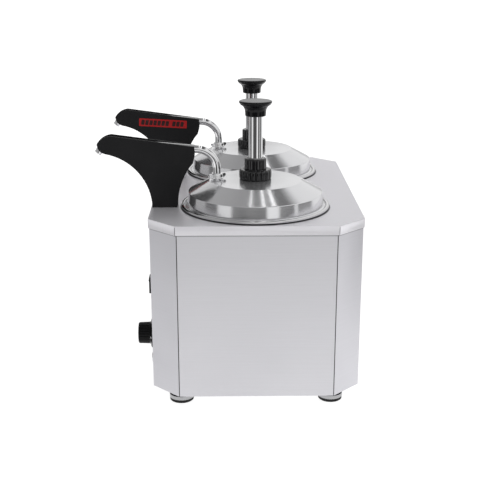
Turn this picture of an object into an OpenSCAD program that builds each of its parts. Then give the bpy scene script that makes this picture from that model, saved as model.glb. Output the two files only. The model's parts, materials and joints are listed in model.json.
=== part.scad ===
// Twin nacho cheese dispenser: a heated steel cabinet with two lift-out pots,
// each with a lid, a push pump and a gooseneck spout that lies in a black heated arm.
// X runs along the cabinet, the spouts point to -Y, Z is up, and the floor is z = 0.

/* [Cabinet] */
// Length of the top cover, end to end
cover_l = 384; // [376:1:420]
// Depth of the top cover, front to back
cover_w = 252.5; // [246:0.5:280]
// Height of the top cover's upper face above the floor
cover_z = 226; // [218:1:240]
// Leg of the cut-off corners
corner = 32.5; // [24:0.5:40]
// Height of the cover's folded lip
lip_h = 11; // [8:0.5:16]
// Gap between the cover's lip and the panels
lip_gap = 0.2; // [0.1:0.05:0.4]
// Thickness of the sheet steel
sheet = 1; // [0.8:0.1:1.2]
// Gap left at the seams between the panels
seam = 0.8; // [0.2:0.05:1]
// Width of the folded flanges
flange_w = 12; // [9:0.5:14]

/* [Feet] */
// Height of a foot
foot_h = 15; // [11:0.5:20]
// Radius of a foot's steel cup
foot_r = 15; // [11:0.5:16]
// Distance of a foot's centre from the cabinet's middle, along X
foot_x = 164; // [140:1:166]
// Distance of a foot's centre from the cabinet's middle, along Y
foot_y = 90.5; // [70:0.5:91]

/* [Pots and lids] */
// Distance of each pot's centre from the cabinet's middle
pot_x = 99; // [98:0.5:106]
// Outer radius of the pot's wall
pot_r = 80; // [74:0.5:81]
// Outer radius of the pot's rolled rim
rim_r = 90; // [88:0.5:91]
// Depth of the pot below the cover
pot_depth = 160; // [120:1:165]
// Radius of the lid's upright band
lid_r = 82.5; // [81:0.5:83]
// Height of the corner between the lid's band and its cone, above the cover
lid_band_h = 19.7; // [15:0.1:24]
// Radius of the lid's flat top
lid_top_r = 56; // [50:0.5:62]
// Height of the lid's flat top above the cover
lid_h = 34.5; // [30:0.1:38]

/* [Pump] */
// Outer radius of the pump barrel
barrel_r = 16; // [15:0.5:18]
// Bore radius of the pump barrel
bore_r = 14; // [12:0.5:14.5]
// Outer radius of the plunger tube
plunger_r = 8; // [7:0.1:8.5]
// Travel of the plunger
stroke = 50; // [30:1:50]
// Outer radius of the ribbed lock ring
lock_r = 19.5; // [18:0.1:22]
// Outer radius of the ribbed cap above it
cap_r = 13.3; // [13:0.1:15]
// Height of the lock ring, and of the cap
grip_h = 12.7; // [11:0.1:15]
// Radius of the push knob's rim
knob_r = 19.8; // [18:0.1:24]
// Height of the push knob
knob_h = 18.5; // [15:0.1:22]

/* [Spout] */
// Diameter of the spout tube
tube_d = 9.5; // [8:0.1:10]
// Wall thickness of the spout tube
tube_wall = 1; // [0.8:0.1:1.5]
// Distance of the riser in front of the pot's centre
riser_y = 46.4; // [44:0.1:50]
// Bend radius of the gooseneck
neck_bend = 24; // [20:0.5:26]
// Height of the gooseneck's bend centre above the cover
neck_z = 46; // [44:0.5:50]
// Angle of the long straight stretch above level
rise = 5; // [4:0.1:10]
// Length of the long straight stretch
reach = 101; // [95:1:104]
// Bend radius at the front end
tip_bend = 16; // [14:0.5:24]
// Angle of the tip below level
tip_angle = 50; // [40:1:58]
// Length of the straight tip
tip_l = 9.5; // [8:0.5:14]
// Thickness of the black arm, across the machine
arm_w = 15; // [14:0.5:18]
// Width of the slot that holds the spout tube
slot_w = 10.5; // [10.5:0.1:11]

/* [Controls] */
// Height of the rocker switch's centre
switch_z = 126; // [110:0.5:140]
// Height of the thermostat knob's centre
dial_z = 60.5; // [50:0.5:70]
// Radius of the thermostat knob's skirt
dial_r = 20; // [15:0.5:21]
// How far the thermostat knob stands out
dial_out = 21.8; // [18:0.5:28]
// Height of the indicator lamp's centre
lamp_z = 27; // [27:0.5:32]
// Height of the power inlet's centre
inlet_z = 42; // [38:1:60]

/* [Hidden] */
$fn = 64;

// Cabinet
body_l = cover_l - 2 * sheet - 2 * lip_gap;
body_w = cover_w - 2 * sheet - 2 * lip_gap;
panel_top = cover_z - sheet;
fold_y = body_w / 2 - corner;
inner_x = body_l / 2 - sheet;
inner_y = body_w / 2 - sheet;
floor_z = foot_h + sheet;
screw_y = inner_y - flange_w / 2;
stud_r = 4;
stud_h = 11;
cup_h = 11;
pad_h = foot_h - cup_h;

// Running clearance of a round fit, and the gap under parts that lift off
run_gap = 0.05;
seat_gap = 0.15;

// Wells and pots
well_r = 84.5;
well_rim_r = 89.5;
well_floor = cover_z - pot_depth - 7;
pot_sheet = 0.8;
pot_floor = cover_z - pot_depth;
rim_bead = 2.25;
rim_z = cover_z + seat_gap + rim_bead;
pot_flange_z = cover_z + 0.9;
lid_seat_r = 84.5;
lid_seat_z = pot_flange_z + 1 + seat_gap;
lid_top = cover_z + lid_h;
heater_h = 8;

// Pump
neck_r = 12.8;
neck_top = lid_top + grip_h - 1;
cap_top = lid_top + 2 * grip_h;
valve_top = pot_floor + 37;
valve_bottom = pot_floor + 7;
ball_r = 6.35;
intake_r = 5;
seat_z = valve_bottom + 6;
ball_z = seat_z + sqrt(ball_r * ball_r - intake_r * intake_r) + 0.02;
spring_foot = valve_top - 4;
piston_h = 12;
piston_z = spring_foot + stroke + 32;
knob_bottom = cap_top + stroke + 0.1;
spring_r = 10.6;
spring_wire = 0.9;
spring_turns = 9;

// Spout tube, in the plane through a pot's centre: [y, z] points and directions
tube_r = tube_d / 2;
neck_c = [-riser_y - neck_bend, cover_z + neck_z];
turn = 90 - rise;
straight_a = neck_c + neck_bend * [cos(turn), sin(turn)];
straight_b = straight_a + reach * [-cos(rise), sin(rise)];
tip_c = straight_b - tip_bend * [cos(turn), sin(turn)];
tip_turn = rise + tip_angle;
tip_a = tip_c + tip_bend * [cos(turn + tip_turn), sin(turn + tip_turn)];
tip_b = tip_a + tip_l * [-cos(tip_angle), -sin(tip_angle)];
riser_foot = valve_top - 12;
gallery_z = seat_z + 8;

// Angle of the wing nut's ears at rest
nut_angle = 35;

// Arm outline: two circular hollows, front and back, and a sloping top
front_hollow = [-191.5, cover_z];
front_hollow_r = 66.7;
back_hollow = [-6.2, cover_z];
back_hollow_r = 88;
arm_wall = 2.5;
arm_foot_h = 9;
arm_back_y = -73;
arm_lip = 1;
heat_bar_h = 9;
wire_y = -109.5;
arm_screw_y = [-118, -101];

// Rocker switch: rest tilt, and its pivot behind the panel's face
rocker_tilt = 10;
rocker_axis = -0.7;

// Inlet at the back: hole spacing, flange size, flange thickness, screw head height
inlet_pitch = 40;
inlet_flange = [50, 22.5];
inlet_flange_t = 2.2;
inlet_head = 1.6;

// The origin is under the middle of the whole machine, spout tips included
front_reach = -tip_b[0] + tube_r * sin(tip_angle);
back_reach = body_w / 2 + inlet_flange_t + inlet_head;
body_y = (front_reach - back_reach) / 2;

steel = [0.80, 0.80, 0.82];
bright = [0.90, 0.90, 0.92];
black = [0.08, 0.08, 0.09];

function arc(c, r, a, b, n = 12) =
    [for (i = [0:n]) c + r * [cos(a + (b - a) * i / n), sin(a + (b - a) * i / n)]];

// Rounded convex corner at p, between faces whose outward normals point at angles a and b,
// drawn d inside the outer surface
function corner_arc(p, a, b, r, d, n = 6) =
    arc(p - r * [cos(a) + cos(b), sin(a) + sin(b)] / (1 + cos(b - a)), r - d, a, b, n);

module octagon(l, w, c) {
    polygon([[l / 2, w / 2 - c], [l / 2 - c, w / 2], [c - l / 2, w / 2], [-l / 2, w / 2 - c],
             [-l / 2, c - w / 2], [c - l / 2, -w / 2], [l / 2 - c, -w / 2], [l / 2, c - w / 2]]);
}

// The octagon d inside the one of size l by w
module inset_octagon(l, w, c, d) {
    octagon(l - 2 * d, w - 2 * d, c - d * (2 - sqrt(2)));
}

// Places one of the two pump units: side is -1 for the left, 1 for the right
module unit(side) {
    translate([side * pot_x, body_y, 0]) children();
}

// Places something on the front panel, with z outward and y up
module on_front(z) {
    translate([0, -body_w / 2, z]) rotate([90, 0, 0]) children();
}

// Revolves a profile of [radius, z] points
module turned(points) {
    rotate_extrude() polygon(points);
}

// Extrudes an outline of [y, z] points to a width along X
module upright(width, points) {
    rotate([90, 0, 90]) translate([0, 0, -width / 2]) linear_extrude(width) polygon(points);
}

module ring(outer, inner, h) {
    difference() {
        cylinder(r = outer, h = h);
        translate([0, 0, -1]) cylinder(r = inner, h = h + 2);
    }
}

// Cabinet ------------------------------------------------------------------

module wall_ring(h) {
    linear_extrude(h) difference() {
        octagon(body_l, body_w, corner);
        inset_octagon(body_l, body_w, corner, sheet);
    }
}

// Front or back shell: the long face, both cut-off corners, the folds behind the end
// panels and the flange that stands on the base plate
module wrap() {
    h = panel_top - foot_h;
    difference() {
        union() {
            intersection() {
                translate([0, 0, foot_h]) wall_ring(h);
                translate([-body_l, -body_w, 0]) cube([2 * body_l, body_w - fold_y, 2 * cover_z]);
            }
            for (s = [-1, 1])
                translate([s * (inner_x - sheet / 2) - sheet / 2, -fold_y - 0.9 * sheet, foot_h + sheet])
                    cube([sheet, flange_w, h - sheet]);
            translate([-foot_x + 14, -inner_y - sheet / 2, floor_z])
                cube([2 * foot_x - 28, flange_w + sheet / 2, sheet]);
        }
        for (x = [-120, 0, 120])
            translate([x, -screw_y, 0]) cylinder(r = 1.95, h = foot_h + 5);
    }
}

module front_panel() {
    color(steel) translate([0, body_y, 0]) difference() {
        wrap();
        for (s = [-1, 1]) translate([s * pot_x, 0, 0]) {
            on_front(dial_z) translate([0, 0, -3]) cylinder(r = 5, h = 6);
            on_front(lamp_z) translate([0, 0, -3]) cylinder(r = 5, h = 6);
            on_front(switch_z) translate([-6.5, -9.5, -3]) cube([13, 19, 6]);
        }
    }
}

module on_back(z) {
    translate([0, body_w / 2, z]) rotate([90, 0, 180]) children();
}

module back_panel() {
    color(steel) translate([0, body_y, 0]) difference() {
        mirror([0, 1, 0]) wrap();
        on_back(inlet_z) {
            translate([-13.9, -10.1, -3]) cube([27.8, 20.2, 6]);
            for (s = [-1, 1]) translate([s * inlet_pitch / 2, 0, -3]) cylinder(r = 1.6, h = 6);
        }
    }
}

module end_panel(s) {
    half = fold_y - seam;
    color(steel) translate([0, body_y, 0]) difference() {
        union() {
            translate([s * (body_l - sheet) / 2 - sheet / 2, -half, foot_h])
                cube([sheet, 2 * half, panel_top - foot_h]);
            translate([s > 0 ? inner_x - flange_w : -body_l / 2 + sheet / 2, -half + 14, floor_z])
                cube([flange_w + sheet / 2, 2 * half - 28, sheet]);
        }
        for (y = [-45, 45])
            translate([s * (inner_x - flange_w / 2), y, 0]) cylinder(r = 1.95, h = foot_h + 5);
    }
}

module top_cover() {
    color(steel) translate([0, body_y, 0]) difference() {
        union() {
            translate([0, 0, cover_z - sheet]) linear_extrude(sheet) octagon(cover_l, cover_w, corner);
            translate([0, 0, cover_z - lip_h]) linear_extrude(lip_h - sheet / 2) difference() {
                octagon(cover_l, cover_w, corner);
                inset_octagon(cover_l, cover_w, corner, sheet);
            }
        }
        for (s = [-1, 1]) translate([s * pot_x, 0, 0]) {
            translate([0, 0, cover_z - 5]) cylinder(r = well_r, h = 10);
            translate([0, wire_y, cover_z - 5]) cylinder(r = 3, h = 10);
            for (y = arm_screw_y) translate([0, y, cover_z - 5]) cylinder(r = 2.05, h = 10);
        }
        // open seams at the lip's folded corners
        for (sx = [-1, 1], sy = [-1, 1]) {
            translate([sx * cover_l / 2, sy * (cover_w / 2 - corner), cover_z - lip_h - 1])
                rotate([0, 0, sy * sx * 22.5]) cube([6, seam, 2 * lip_h - 1], center = true);
            translate([sx * (cover_l / 2 - corner), sy * cover_w / 2, cover_z - lip_h - 1])
                rotate([0, 0, sy * sx * 67.5]) cube([6, seam, 2 * lip_h - 1], center = true);
        }
    }
}

module base_plate() {
    color(steel) translate([0, body_y, 0]) difference() {
        union() {
            translate([0, 0, foot_h]) linear_extrude(sheet)
                inset_octagon(body_l, body_w, corner, sheet + 0.1);
            for (sx = [-1, 1], sy = [-1, 1])
                translate([sx * foot_x, sy * foot_y, foot_h]) cylinder(r = 7, h = 8);
        }
        for (sx = [-1, 1], sy = [-1, 1])
            translate([sx * foot_x, sy * foot_y, 0]) cylinder(r = stud_r + run_gap, h = foot_h + 20);
        for (x = [-120, 0, 120], s = [-1, 1])
            translate([x, s * screw_y, 0]) cylinder(r = 1.95, h = foot_h + 5);
        for (s = [-1, 1], y = [-45, 45])
            translate([s * (inner_x - flange_w / 2), y, 0]) cylinder(r = 1.95, h = foot_h + 5);
    }
}

module at_feet() {
    for (sx = [-1, 1], sy = [-1, 1])
        translate([sx * foot_x, body_y + sy * foot_y, 0]) children();
}

module foot_cups() {
    color(bright) at_feet() {
        difference() {
            turned([[0, pad_h], [foot_r - 0.3, pad_h], [foot_r, pad_h + 0.4], [foot_r, pad_h + 5],
                    [foot_r - 0.7, pad_h + 5.6], [foot_r - 0.7, pad_h + 6.2], [foot_r - 0.2, pad_h + 6.7],
                    [foot_r - 0.2, foot_h - 2], [foot_r - 1.2, foot_h - 0.5], [foot_r - 3, foot_h],
                    [0, foot_h]]);
            translate([0, 0, -1]) cylinder(r = foot_r - 2, h = foot_h - 3);
        }
        translate([0, 0, foot_h - 1]) cylinder(r = stud_r, h = stud_h + 1);
    }
}

module foot_pads() {
    color(black) at_feet()
        turned([[0, 0], [foot_r - 1.4, 0], [foot_r - 0.6, 0.8], [foot_r - 0.6, pad_h],
                [foot_r - 2, pad_h], [foot_r - 2, foot_h - 4], [0, foot_h - 4]]);
}

// A pan-head screw with its head's underside at z = 0 and its shank along +Z
module pan_screw(shank_r, length, head_r, head_h) {
    difference() {
        union() {
            translate([0, 0, -0.5]) cylinder(r = shank_r, h = length + 0.5);
            turned([[0, -head_h], [head_r * 0.6, -head_h], [head_r * 0.9, -head_h * 0.7],
                    [head_r, -head_h * 0.35], [head_r, 0], [0, 0]]);
        }
        for (a = [0, 90])
            rotate([0, 0, a]) translate([-head_r * 0.6, -0.4, -head_h - 1]) cube([head_r * 1.2, 0.8, 1.9]);
    }
}

module base_screws() {
    color(bright) translate([0, body_y, foot_h]) {
        for (x = [-120, 0, 120], s = [-1, 1]) translate([x, s * screw_y, 0]) pan_screw(1.9, 8, 3.6, 2.2);
        for (s = [-1, 1], y = [-45, 45])
            translate([s * (inner_x - flange_w / 2), y, 0]) pan_screw(1.9, 8, 3.6, 2.2);
    }
}

module arm_screws() {
    color(bright) for (s = [-1, 1]) unit(s)
        for (y = arm_screw_y) translate([0, y, panel_top]) pan_screw(1.95, sheet + 7, 3.4, 2.4);
}

module power_inlet() {
    body = [27.6, 19.8];
    recess = [24.6, 16.8];
    color(black) translate([0, body_y, 0]) on_back(inlet_z) {
        difference() {
            union() {
                linear_extrude(inlet_flange_t) square(inlet_flange, center = true);
                translate([0, 0, -16]) linear_extrude(17) square(body, center = true);
            }
            translate([0, 0, -13]) linear_extrude(20) polygon([
                [-recess[0] / 2, -recess[1] / 2], [recess[0] / 2, -recess[1] / 2],
                [recess[0] / 2, recess[1] / 2 - 4], [recess[0] / 2 - 4, recess[1] / 2],
                [4 - recess[0] / 2, recess[1] / 2], [-recess[0] / 2, recess[1] / 2 - 4]]);
            for (s = [-1, 1]) translate([s * inlet_pitch / 2, 0, -1]) cylinder(r = 1.6, h = 5);
        }
        // contact blades, and their tabs behind
        for (p = [[-7, -2], [0, 2], [7, -2]]) {
            translate([p[0] - 1, p[1] - 2, -13.5]) cube([2, 4, 10.5]);
            translate([p[0] - 0.4, p[1] - 2, -24]) cube([0.8, 4, 8.5]);
        }
    }
}

module inlet_screws() {
    color(bright) translate([0, body_y, 0]) on_back(inlet_z)
        for (s = [-1, 1]) translate([s * inlet_pitch / 2, 0, inlet_flange_t])
            rotate([180, 0, 0]) pan_screw(1.55, 8, 2.9, inlet_head);
}

module terminal_block() {
    color([0.9, 0.88, 0.82]) translate([0, body_y + 25, floor_z]) difference() {
        union() {
            translate([-30, -9, 0]) cube([60, 18, 10]);
            for (i = [-2:2]) translate([i * 12 - 4, -9, 9]) cube([8, 18, 7]);
        }
        for (i = [-2:2]) translate([i * 12, 0, 8]) cylinder(r = 2.4, h = 10);
        for (i = [-2:2]) translate([i * 12, -12, 6]) rotate([-90, 0, 0]) cylinder(r = 1.6, h = 24);
    }
}

// A run of eight-sided sleeve through a list of points, its pieces lapping at each corner
module run(r, points) {
    last = len(points) - 1;
    lap = 0.7 * r;
    for (i = [0:last - 1]) {
        d = points[i + 1] - points[i];
        l = norm(d);
        lead = i > 0 ? lap : 0;
        tail = i < last - 1 ? lap : 0;
        translate(points[i]) rotate([0, acos(d[2] / l), atan2(d[1], d[0])])
            translate([0, 0, -lead]) cylinder(r = r, h = lead + l + tail, $fn = 8);
    }
}

// The wiring, laid round a trunk that crosses the cabinet below the wells
module wiring() {
    trunk_z = 34;
    trunk_y = -98;
    side_x = pot_x - 27;
    heater_x = pot_x - 45;
    color([0.55, 0.10, 0.08]) translate([0, body_y, 0]) {
        run(2.5, [[0, body_w / 2 - 27, inlet_z], [0, 60, inlet_z], [0, 60, 20], [0, 35.5, 20]]);
        run(3, [[0, 14, 20], [0, 0, trunk_z], [0, trunk_y, trunk_z]]);
        translate([0, trunk_y, trunk_z]) cube(8, center = true);
        for (s = [-1, 1]) {
            run(2.5, [[0, trunk_y, trunk_z], [s * side_x, trunk_y, trunk_z],
                      [s * side_x, trunk_y, cover_z - 27], [s * pot_x, wire_y, cover_z - 15],
                      [s * pot_x, wire_y, cover_z + 26]]);
            run(1.5, [[s * side_x, trunk_y, trunk_z], [s * pot_x, 17.3 - body_w / 2, lamp_z]]);
            run(1.5, [[s * side_x, trunk_y, dial_z], [s * (pot_x - 17.5), trunk_y - 8, dial_z]]);
            run(1.5, [[s * side_x, trunk_y, switch_z - 8], [s * pot_x, 18.8 - body_w / 2, switch_z]]);
            run(1.5, [[0, 0, trunk_z], [s * heater_x, 0, 36],
                      [s * heater_x, 0, well_floor - heater_h - 1.5]]);
        }
    }
}

// Pump units ---------------------------------------------------------------

module well() {
    r = well_r + 0.8;
    color(steel) turned(concat(
        [[0, well_floor], [r - 8, well_floor]],
        arc([r - 8, well_floor + 8], 8, -90, 0, 6),
        [[r, panel_top - 1], [well_rim_r, panel_top - 1], [well_rim_r, panel_top], [well_r, panel_top]],
        arc([r - 8, well_floor + 8], 7.2, 0, -90, 6),
        [[0, well_floor + 0.8]]));
}

module well_heater() {
    top = well_floor;
    color([0.62, 0.60, 0.55]) difference() {
        union() {
            translate([0, 0, top - heater_h]) ring(70, 22, heater_h);
            // clamp band across the ring, and the two terminals
            translate([-8, -70, top - heater_h - 1.5]) cube([16, 140, 2]);
        }
        cylinder(r = 4, h = top);
        for (s = [-1, 1]) translate([s * 45, 0, top - heater_h - 1]) cylinder(r = 2.6, h = 2.5);
    }
}

module thermostat() {
    color(black) on_front(dial_z) difference() {
        union() {
            translate([-16, -16, -26]) cube([32, 32, 25]);
            translate([0, 0, -2]) cylinder(r = 5, h = 2.6);
        }
        translate([0, 0, -20]) cylinder(r = 3 + run_gap, h = 24);
    }
}

module dial_knob() {
    flutes = 24;
    color(black) on_front(dial_z) difference() {
        union() {
            translate([0, 0, -19]) cylinder(r = 3, h = 22);
            turned([[0, 1], [dial_r - 0.6, 1], [dial_r, 1.6], [dial_r, 3.8], [19.5, 4.4], [14.4, 6.6],
                    [13.8, 7.6], [13.3, dial_out - 1.2], [12.4, dial_out], [0, dial_out]]);
        }
        for (i = [0:flutes - 1]) rotate([0, 0, i * 360 / flutes])
            translate([14.1, 0, 8]) cylinder(r = 1.1, h = dial_out, $fn = 24);
        translate([-0.8, 3, dial_out - 0.6]) cube([1.6, 12, 2]);
    }
}

module switch_housing() {
    color(black) on_front(switch_z) difference() {
        union() {
            translate([-7.6, -10.2, 0]) cube([15.2, 20.4, 6.6]);
            translate([-6.5, -9.5, -17]) cube([13, 19, 18]);
        }
        translate([-5.7, -8.7, -7]) cube([11.4, 17.4, 16]);
        translate([-6.2, 0, rocker_axis]) rotate([0, 90, 0]) cylinder(r = 1 + run_gap, h = 12.4);
    }
}

module rocker() {
    half_h = 7.3;
    color(black) on_front(switch_z) translate([0, 0, rocker_axis]) rotate([rocker_tilt, 0, 0]) {
        rotate([90, 0, 90]) translate([0, 0, -5.5]) linear_extrude(11)
            polygon([[-6, -2.7], [6, -2.7], [half_h, 0], [half_h, 6.9], [0, 5.4], [-half_h, 6.9],
                     [-half_h, 0]]);
        translate([-6.1, 0, 0]) rotate([0, 90, 0]) cylinder(r = 1, h = 12.2);
    }
}

module indicator_lamp() {
    color([0.8, 0.1, 0.05]) on_front(lamp_z) {
        turned([[0, -12], [5, -12], [5, 0], [7.4, 0], [7.4, 1], [6.7, 1.7], [6.4, 4.8], [6, 5.2],
                [5.1, 5.2], [4.8, 4.8], [4, 5.2], [2.2, 5.5], [0, 5.6]]);
        for (s = [-1, 1]) translate([s * 2.5 - 0.4, -1.5, -15.5]) cube([0.8, 3, 4]);
    }
}

module pot() {
    bend = 7;
    color(bright) union() {
        turned(concat(
            [[0, pot_floor]],
            arc([pot_r - bend, pot_floor + bend], bend, -90, 0, 6),
            [[pot_r, pot_flange_z], [rim_r - 2 * rim_bead, pot_flange_z], [rim_r - rim_bead, pot_flange_z],
             [rim_r - rim_bead, pot_flange_z + 1], [pot_r - pot_sheet, pot_flange_z + 1]],
            arc([pot_r - bend, pot_floor + bend], bend - pot_sheet, 0, -90, 6),
            [[0, pot_floor + pot_sheet]]));
        rotate_extrude() translate([rim_r - rim_bead, rim_z]) circle(r = rim_bead);
    }
}

// Outline of the lid's sheet, d below its outer surface
function lid_line(d) =
    let (cone = atan2(lid_r - lid_top_r, lid_h - lid_band_h))
    concat(
        [[lid_seat_r, lid_seat_z + 1 - d], [lid_r - d, lid_seat_z + 1 - d]],
        corner_arc([lid_r, cover_z + lid_band_h], 0, cone, 4, d),
        corner_arc([lid_top_r, lid_top], cone, 90, 6, d),
        [[neck_r + 0.2, lid_top - d]]);

module lid() {
    inner = lid_line(1);
    color(bright) difference() {
        turned(concat(lid_line(0), [for (i = [len(inner) - 1:-1:0]) inner[i]]));
        translate([0, -riser_y, lid_top - 5]) cylinder(r = tube_r + 0.2, h = 10);
    }
}

module pump_barrel() {
    color(bright) difference() {
        union() {
            translate([0, 0, valve_top - 4]) cylinder(r = barrel_r, h = lid_top - 1 - valve_top + 4);
            translate([0, 0, lid_top - 4]) cylinder(r = 19, h = 3);
            translate([0, 0, lid_top - 2]) cylinder(r = neck_r, h = neck_top - lid_top + 2);
        }
        translate([0, 0, valve_top - 6]) cylinder(r = bore_r, h = lid_top - valve_top);
        cylinder(r = 10.5, h = cover_z + 100);
    }
}

module valve_body() {
    h = valve_top - valve_bottom;
    color(bright) difference() {
        union() {
            translate([0, 0, valve_bottom]) cylinder(r = 19, h = h);
            translate([-9, -riser_y, valve_bottom]) cube([18, riser_y, h]);
            translate([0, -riser_y, valve_bottom]) cylinder(r = 9, h = h);
        }
        translate([0, 0, valve_top - 4]) cylinder(r = barrel_r, h = 10);
        // intake, ball chamber with its crossbar, and the gallery to the riser
        cylinder(r = intake_r, h = valve_top);
        difference() {
            translate([0, 0, seat_z]) cylinder(r = 8, h = 40);
            translate([-10, -1.5, ball_z + ball_r + 3.2]) cube([20, 3, 1.8]);
        }
        translate([0, -riser_y, gallery_z]) rotate([-90, 0, 0]) cylinder(r = 3, h = riser_y);
        translate([0, -riser_y, gallery_z]) cylinder(r = tube_r - tube_wall, h = 40);
        translate([0, -riser_y, riser_foot]) cylinder(r = tube_r, h = 40);
    }
}

module intake_ball() {
    color(bright) translate([0, 0, ball_z]) sphere(r = ball_r);
}

module piston() {
    r = bore_r - run_gap;
    color([0.85, 0.85, 0.80]) turned([
        [0, piston_z], [r - 3, piston_z], [r - 1, piston_z + 0.6], [r, piston_z + 1.6],
        [r, piston_z + 4], [r - 1.4, piston_z + 4.6], [r - 1.4, piston_z + 7.4], [r, piston_z + 8],
        [r, piston_z + 10.4], [r - 1, piston_z + piston_h], [plunger_r, piston_z + piston_h],
        [plunger_r, piston_z + 8], [0, piston_z + 8]]);
}

module plunger_tube() {
    foot = piston_z + 8;
    top = knob_bottom + 8;
    color(bright) difference() {
        translate([0, 0, foot]) cylinder(r = plunger_r, h = top - foot);
        translate([0, 0, foot + 3]) cylinder(r = plunger_r - 1.2, h = top - foot - 6);
    }
}

module push_knob() {
    top = knob_bottom + knob_h;
    neck = 12.5;
    color(black) difference() {
        turned(concat(
            [[0, knob_bottom], [neck - 0.6, knob_bottom], [neck, knob_bottom + 0.8],
             [neck + 0.1, knob_bottom + 5]],
            arc([neck + 9.6, knob_bottom + 5], 9.5, 180, 115, 10),
            arc([knob_r - 1.8, top - 2.2], 1.8, -60, 80, 8),
            [[knob_r - 5, top - 0.25], [0, top]]));
        translate([0, 0, knob_bottom - 1]) cylinder(r = plunger_r, h = 9);
    }
}

// Coil spring standing on spring_foot: rings of six points swept up a helix
module return_spring() {
    h = piston_z - spring_foot - 2 * spring_wire;
    steps = spring_turns * 14;
    sides = 6;
    points = [for (i = [0:steps], k = [0:sides - 1])
        let (a = 360 * spring_turns * i / steps, b = 360 * k / sides, r = spring_r + spring_wire * cos(b))
        [r * cos(a), r * sin(a), spring_foot + spring_wire + h * i / steps + spring_wire * sin(b)]];
    walls = [for (i = [0:steps - 1], k = [0:sides - 1])
        let (n = (k + 1) % sides)
        [i * sides + k, (i + 1) * sides + k, (i + 1) * sides + n, i * sides + n]];
    ends = [[for (k = [0:sides - 1]) k], [for (k = [sides - 1:-1:0]) steps * sides + k]];
    color(bright) polyhedron(points, concat(walls, ends));
}

// Round grip, standing on z = 0: a plain foot, half-round ribs above it and a small step on top
module ribbed(r, h, foot, count, rib_r) {
    turned([[0, 0], [r - 0.5, 0], [r, 0.5], [r, foot - 0.5], [r - 0.5, foot], [0, foot]]);
    translate([0, 0, foot - 0.3]) linear_extrude(h - foot - 0.3) {
        circle(r = r - 1);
        for (i = [0:count - 1]) rotate([0, 0, i * 360 / count])
            translate([r - rib_r - 0.1, 0]) circle(r = rib_r, $fn = 24);
    }
    cylinder(r = r - 1.6, h = h);
}

module pump_cap() {
    color(black) difference() {
        union() {
            translate([0, 0, neck_top + 0.3]) ribbed(cap_r, cap_top - neck_top - 0.3, 1.2, 12, 2.6);
            translate([0, 0, neck_top - 7]) cylinder(r = 10.5, h = 9);
        }
        translate([0, 0, neck_top - 10]) cylinder(r = plunger_r + run_gap, h = 60);
    }
}

module lock_ring() {
    color(black) translate([0, 0, lid_top + 0.1]) difference() {
        ribbed(lock_r, grip_h - 1.2, 1.2, 18, 2.3);
        translate([0, 0, -1]) cylinder(r = neck_r + run_gap, h = 40);
    }
}

// Centre line of the spout tube, each entry [y, z, angle of its direction]: riser, gooseneck,
// straight stretch, front bend and tip
function spout_line() =
    let (n = 12, m = 9)
    concat(
        [[-riser_y, riser_foot, 90]],
        [for (i = [0:n]) let (a = turn * i / n, p = neck_c + neck_bend * [cos(a), sin(a)])
            [p[0], p[1], 90 + a]],
        [for (i = [0:m]) let (a = turn + tip_turn * i / m, p = tip_c + tip_bend * [cos(a), sin(a)])
            [p[0], p[1], 90 + a]],
        [[tip_b[0], tip_b[1], 90 + turn + tip_turn]]);

// One tube polyhedron: the outer wall's rings go out along the line and the bore's come back
module spout_tube() {
    line = spout_line();
    n = len(line);
    sides = 24;
    stops = concat([for (p = line) [p, tube_r]], [for (i = [n - 1:-1:0]) [line[i], tube_r - tube_wall]]);
    points = [for (s = stops, k = [0:sides - 1])
        let (p = s[0], b = 360 * k / sides, out = s[1] * cos(b))
        [s[1] * sin(b), p[0] + out * sin(p[2]), p[1] - out * cos(p[2])]];
    faces = [for (i = [0:2 * n - 1], k = [0:sides - 1])
        let (j = (i + 1) % (2 * n), m = (k + 1) % sides)
        [i * sides + k, j * sides + k, j * sides + m, i * sides + m]];
    color(bright) polyhedron(points, faces);
}

module wing_nut() {
    h = 6.2;
    color(bright) translate([0, -riser_y, lid_top + 0.2]) rotate([0, 0, nut_angle]) difference() {
        union() {
            turned([[0, 0], [8, 0], [8.2, 0.3], [8.2, 1.1], [7.4, 1.8], [6.9, h - 0.9], [6.2, h], [0, h]]);
            for (a = [0, 180]) rotate([0, 0, a])
                upright(3.4, [[4, 0.5], [9.6, 0.7], [11.6, 2.2], [12, 3.6], [11.2, 4.9], [9.6, 5.4],
                              [4, 4.9]]);
        }
        translate([0, 0, -1]) cylinder(r = tube_r + run_gap, h = h + 2);
    }
}

// Arm outline, d inside the outer surface
function arm_outline(d) =
    let (back_a = asin(48.6 / (back_hollow_r + d)))
    concat(
        arc(front_hollow, front_hollow_r + d, 0, 80, 16),
        [[-184.3 + d, cover_z + 67.7 + d / 2], [-187.4 + d, cover_z + 71.6],
         [-188.9 + d, cover_z + 76.8], [-187.7 + d, cover_z + 79.4]],
        arc([-170.1, cover_z + 64.6], 22.8 - d, 138, 96, 6),
        [[arm_back_y - d, top_z(arm_back_y - d) - d], [arm_back_y - d, cover_z + 62],
         [-75.1 - d, cover_z + 54.1]],
        arc(back_hollow, back_hollow_r + d, 180 - back_a, 180, 12));

// Height of the arm's top edge, just below the top of the spout tube
function top_z(y) = tube_mid(y) + tube_r / cos(rise) - arm_lip;
function tube_mid(y) = straight_a[1] + (straight_a[0] - y) * tan(rise);

// Everything above the spout tube's underside, gap below it: the slot it drops into
function slot_outline(gap) =
    let (n = [cos(turn), sin(turn)] * (tube_r + gap), m = [cos(90 + tip_angle), sin(90 + tip_angle)])
    concat(
        [straight_a + [20, -20 * tan(rise)] - n],
        arc(tip_c, tip_bend - tube_r - gap, turn, 90 + tip_angle, 8),
        [tip_b - [cos(tip_angle), sin(tip_angle)] * 12 - m * (tube_r + gap),
         [-230, cover_z + 47], [-230, cover_z + 127], straight_a + [20, 60]]);

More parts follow.
